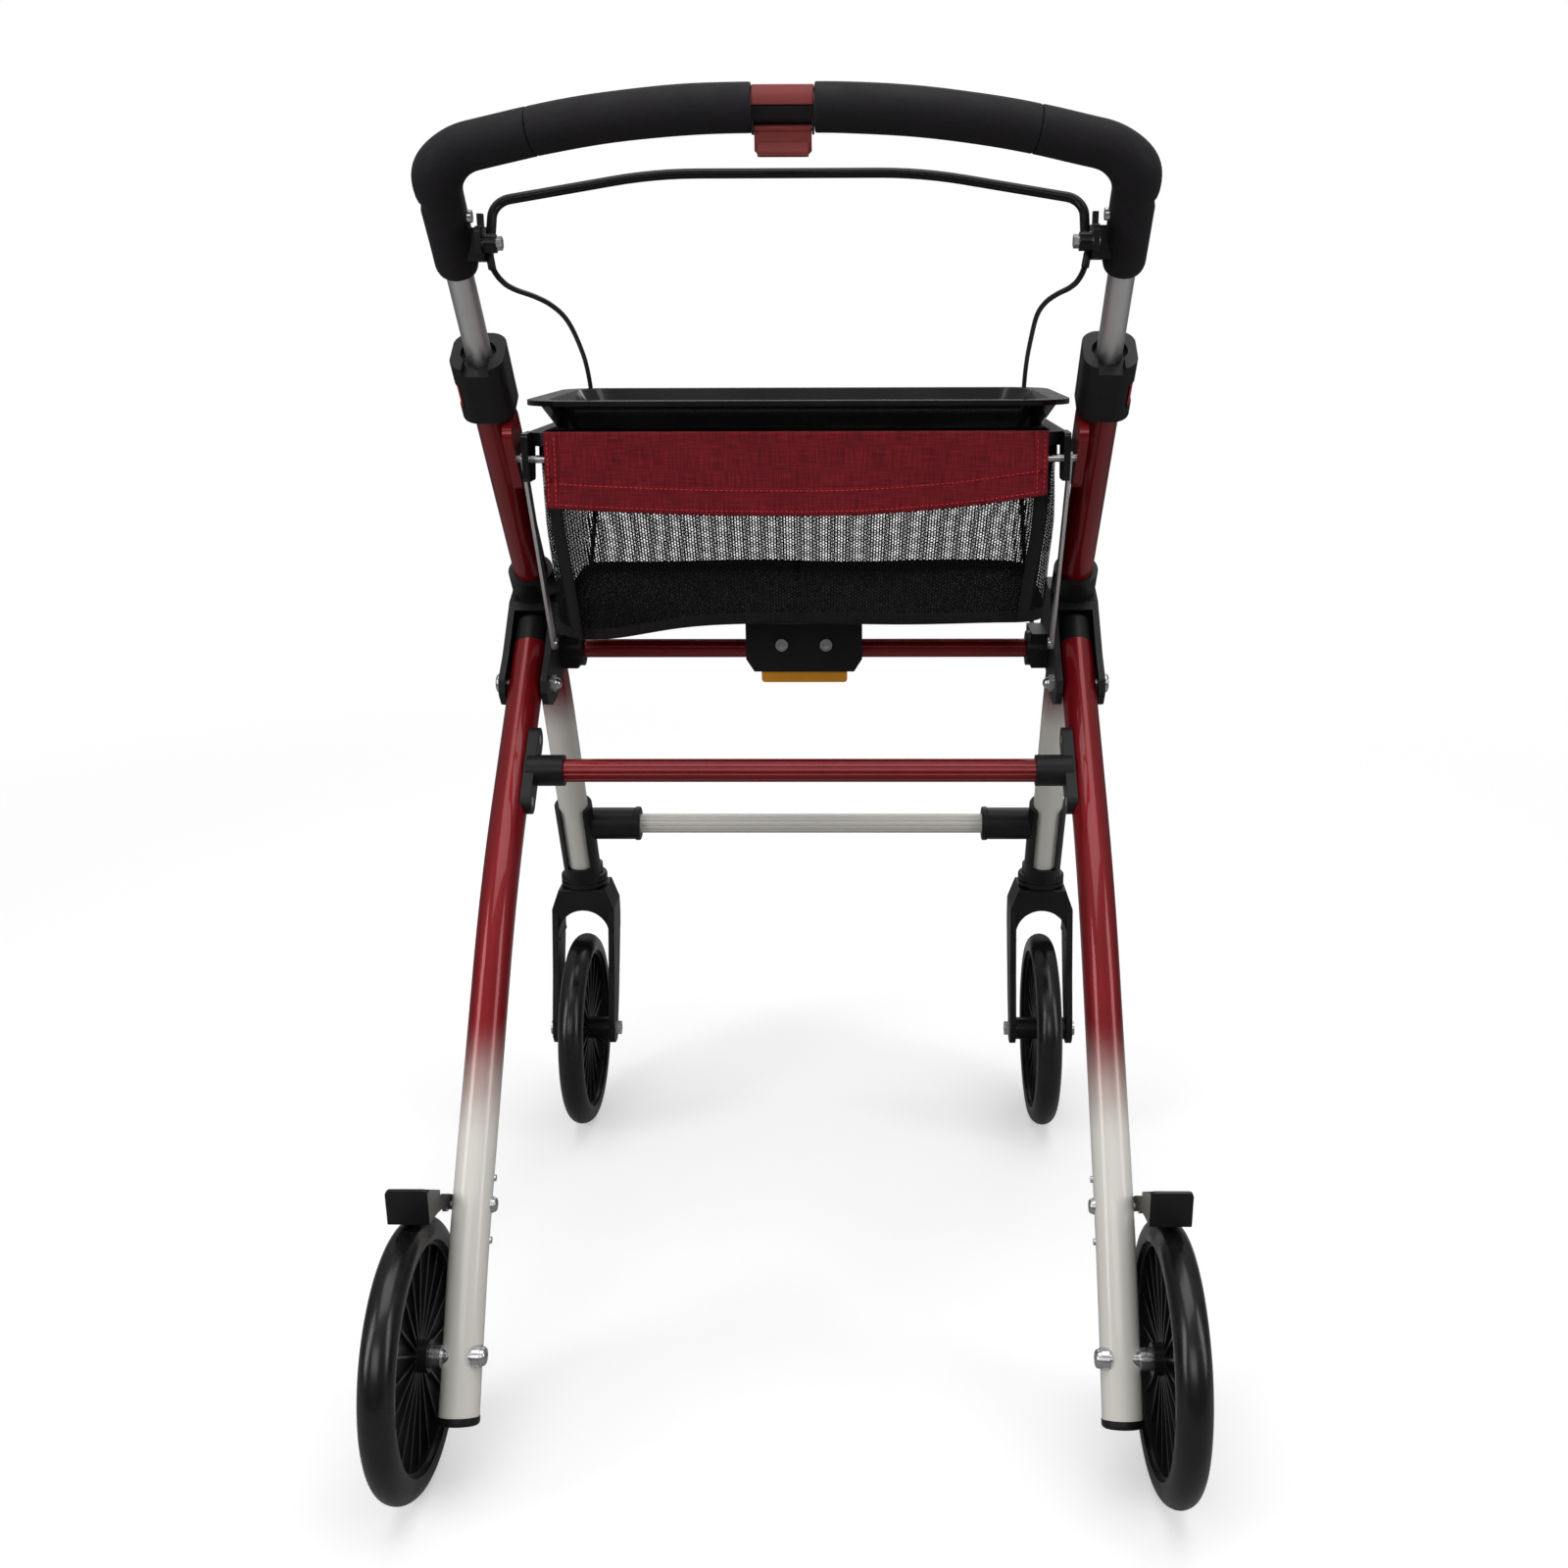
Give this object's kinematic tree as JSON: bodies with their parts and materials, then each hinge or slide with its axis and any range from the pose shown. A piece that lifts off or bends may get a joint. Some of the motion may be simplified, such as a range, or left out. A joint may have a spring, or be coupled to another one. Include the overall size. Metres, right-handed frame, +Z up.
{
  "type": "rollator walker",
  "caption": "Folding walking frame on wheels with swivelling front casters, sliding handle bow, squeeze brake lever, lift-off tray and hanging mesh basket.",
  "frame": {"origin": "on the floor, under the middle of the wheelbase and of the width", "axes": "+X to the right of the user, +Y forward in the walking direction, +Z up"},
  "size_m": [0.553, 0.706, 0.925],
  "materials": {
    "basket": "matte",
    "basket_flap": "matte",
    "bracket_screws": "satin",
    "brake_bolts": "satin",
    "brake_cables": "satin",
    "brake_lever": "satin",
    "brake_shoe_left": "satin",
    "brake_shoe_right": "satin",
    "caster_fork_left": "satin",
    "caster_fork_right": "satin",
    "caster_housing_left": "satin",
    "caster_housing_right": "satin",
    "centre_cover": "matte",
    "corner_grip_left": "matte",
    "corner_grip_right": "matte",
    "cover_base": "satin",
    "crossbar_brackets": "satin",
    "foam_grip_left": "matte",
    "foam_grip_right": "matte",
    "fold_bolts": "satin",
    "fold_lock_tab": "satin",
    "front_axle_left": "satin",
    "front_axle_right": "satin",
    "front_crossbar": "gloss",
    "front_rim_left": "satin",
    "front_rim_right": "satin",
    "front_tyre_left": "satin",
    "front_tyre_right": "satin",
    "handle_tube": "satin",
    "height_button_left": "gloss",
    "height_button_right": "gloss",
    "height_clamp_left": "satin",
    "height_clamp_right": "satin",
    "holder_rod": "satin",
    "joint_bracket_left": "satin",
    "joint_bracket_right": "satin",
    "latch_plate": "satin",
    "latch_screws": "satin",
    "leg_end_caps": "satin",
    "leg_top_plugs": "satin",
    "lever_bolts": "satin",
    "lever_brackets": "satin",
    "lower_crossbar": "gloss",
    "main_tube_left": "gloss",
    "main_tube_right": "gloss",
    "parking_latch": "matte",
    "rear_axle_bolts": "satin",
    "rear_leg_left": "gloss",
    "rear_leg_right": "gloss",
    "rear_rim_left": "satin",
    "rear_rim_right": "satin",
    "rear_tyre_left": "satin",
    "rear_tyre_right": "satin",
    "stay_pins": "satin",
    "stays": "satin",
    "stem_guides": "satin",
    "tray": "gloss",
    "tray_holder": "gloss",
    "tray_lugs": "gloss",
    "upper_crossbar": "gloss"
  },
  "bodies": {
    "main_frame": {"main_tube_left": "main_tube_left", "main_tube_right": "main_tube_right", "joint_bracket_left": "joint_bracket_left", "joint_bracket_right": "joint_bracket_right", "height_clamp_left": "height_clamp_left", "height_clamp_right": "height_clamp_right", "caster_housing_left": "caster_housing_left", "caster_housing_right": "caster_housing_right", "tray_lugs": "tray_lugs", "holder_rod": "holder_rod", "tray_holder": "tray_holder", "stays": "stays", "stay_pins": "stay_pins", "upper_crossbar": "upper_crossbar", "front_crossbar": "front_crossbar", "latch_plate": "latch_plate", "latch_screws": "latch_screws", "fold_bolts": "fold_bolts", "basket": "basket", "basket_flap": "basket_flap", "brake_cables": "brake_cables"},
    "rear_frame": {"rear_leg_left": "rear_leg_left", "rear_leg_right": "rear_leg_right", "leg_top_plugs": "leg_top_plugs", "leg_end_caps": "leg_end_caps", "crossbar_brackets": "crossbar_brackets", "lower_crossbar": "lower_crossbar", "bracket_screws": "bracket_screws", "rear_axle_bolts": "rear_axle_bolts", "brake_bolts": "brake_bolts"},
    "handle": {"handle_tube": "handle_tube", "stem_guides": "stem_guides", "centre_cover": "centre_cover", "cover_base": "cover_base", "lever_brackets": "lever_brackets", "lever_bolts": "lever_bolts", "corner_grip_left": "corner_grip_left", "corner_grip_right": "corner_grip_right", "foam_grip_left": "foam_grip_left", "foam_grip_right": "foam_grip_right"},
    "brake_lever_body": {"brake_lever": "brake_lever"},
    "parking_latch_body": {"parking_latch": "parking_latch"},
    "fold_tab_body": {"fold_lock_tab": "fold_lock_tab"},
    "tray_body": {"tray": "tray"},
    "button_left": {"height_button_left": "height_button_left"},
    "caster_left": {"caster_fork_left": "caster_fork_left", "front_axle_left": "front_axle_left"},
    "front_wheel_left": {"front_tyre_left": "front_tyre_left", "front_rim_left": "front_rim_left"},
    "rear_wheel_left": {"rear_tyre_left": "rear_tyre_left", "rear_rim_left": "rear_rim_left"},
    "brake_shoe_body_left": {"brake_shoe_left": "brake_shoe_left"},
    "button_right": {"height_button_right": "height_button_right"},
    "caster_right": {"caster_fork_right": "caster_fork_right", "front_axle_right": "front_axle_right"},
    "front_wheel_right": {"front_tyre_right": "front_tyre_right", "front_rim_right": "front_rim_right"},
    "rear_wheel_right": {"rear_tyre_right": "rear_tyre_right", "rear_rim_right": "rear_rim_right"},
    "brake_shoe_body_right": {"brake_shoe_right": "brake_shoe_right"}
  },
  "joints": [
    {"name": "frame_fold", "type": "hinge", "parent": "main_frame", "child": "rear_frame", "pos_m": [0, 0.086, 0.492], "axis": [1, 0, 0], "range_deg": [0, 46]},
    {"name": "handle_slide", "type": "slide", "parent": "main_frame", "child": "handle", "axis": [0, -0.5903, 0.8072], "range_m": [-0.04, 0.06], "deforming": ["brake_cables"]},
    {"name": "brake_squeeze", "type": "hinge", "parent": "handle", "child": "brake_lever_body", "pos_m": [0.198, -0.076, 0.831], "axis": [1, 0, 0], "range_deg": [0, 20], "stiffness_Nm_per_rad": 4},
    {"name": "parking_latch_turn", "type": "hinge", "parent": "handle", "child": "parking_latch_body", "pos_m": [0, -0.11534, 0.89678], "axis": [-1, 0, 0], "range_deg": [0, 50]},
    {"name": "fold_tab_pull", "type": "slide", "parent": "main_frame", "child": "fold_tab_body", "axis": [0, 0, -1], "range_m": [0, 0.006], "stiffness_N_per_m": 400},
    {"name": "tray_lift", "type": "slide", "parent": "main_frame", "child": "tray_body", "axis": [0, 0, 1], "range_m": [0, 0.03]},
    {"name": "height_button_press_left", "type": "slide", "parent": "main_frame", "child": "button_left", "axis": [1, 0, 0], "range_m": [0, 0.0015], "stiffness_N_per_m": 800},
    {"name": "caster_swivel_left", "type": "hinge", "parent": "main_frame", "child": "caster_left", "pos_m": [-0.229, 0.296, 0.237], "axis": [0, 0, 1], "continuous": true},
    {"name": "front_wheel_spin_left", "type": "hinge", "parent": "caster_left", "child": "front_wheel_left", "pos_m": [-0.229, 0.258, 0.095], "axis": [1, 0, 0], "continuous": true},
    {"name": "rear_wheel_spin_left", "type": "hinge", "parent": "rear_frame", "child": "rear_wheel_left", "pos_m": [-0.2615, -0.258, 0.095], "axis": [1, 0, 0], "continuous": true},
    {"name": "brake_shoe_turn_left", "type": "hinge", "parent": "rear_frame", "child": "brake_shoe_body_left", "pos_m": [-0.245, -0.196, 0.176], "axis": [1, 0, 0], "range_deg": [0, 4.4]},
    {"name": "height_button_press_right", "type": "slide", "parent": "main_frame", "child": "button_right", "axis": [-1, 0, 0], "range_m": [0, 0.0015], "stiffness_N_per_m": 800},
    {"name": "caster_swivel_right", "type": "hinge", "parent": "main_frame", "child": "caster_right", "pos_m": [0.229, 0.296, 0.237], "axis": [0, 0, 1], "continuous": true},
    {"name": "front_wheel_spin_right", "type": "hinge", "parent": "caster_right", "child": "front_wheel_right", "pos_m": [0.229, 0.258, 0.095], "axis": [1, 0, 0], "continuous": true},
    {"name": "rear_wheel_spin_right", "type": "hinge", "parent": "rear_frame", "child": "rear_wheel_right", "pos_m": [0.2615, -0.258, 0.095], "axis": [1, 0, 0], "continuous": true},
    {"name": "brake_shoe_turn_right", "type": "hinge", "parent": "rear_frame", "child": "brake_shoe_body_right", "pos_m": [0.245, -0.196, 0.176], "axis": [1, 0, 0], "range_deg": [0, 4.4]}
  ],
  "couplings": [
    {"joint": "brake_shoe_turn_left", "follows": "brake_squeeze", "ratio": 0.22},
    {"joint": "brake_shoe_turn_right", "follows": "brake_squeeze", "ratio": 0.22}
  ]
}
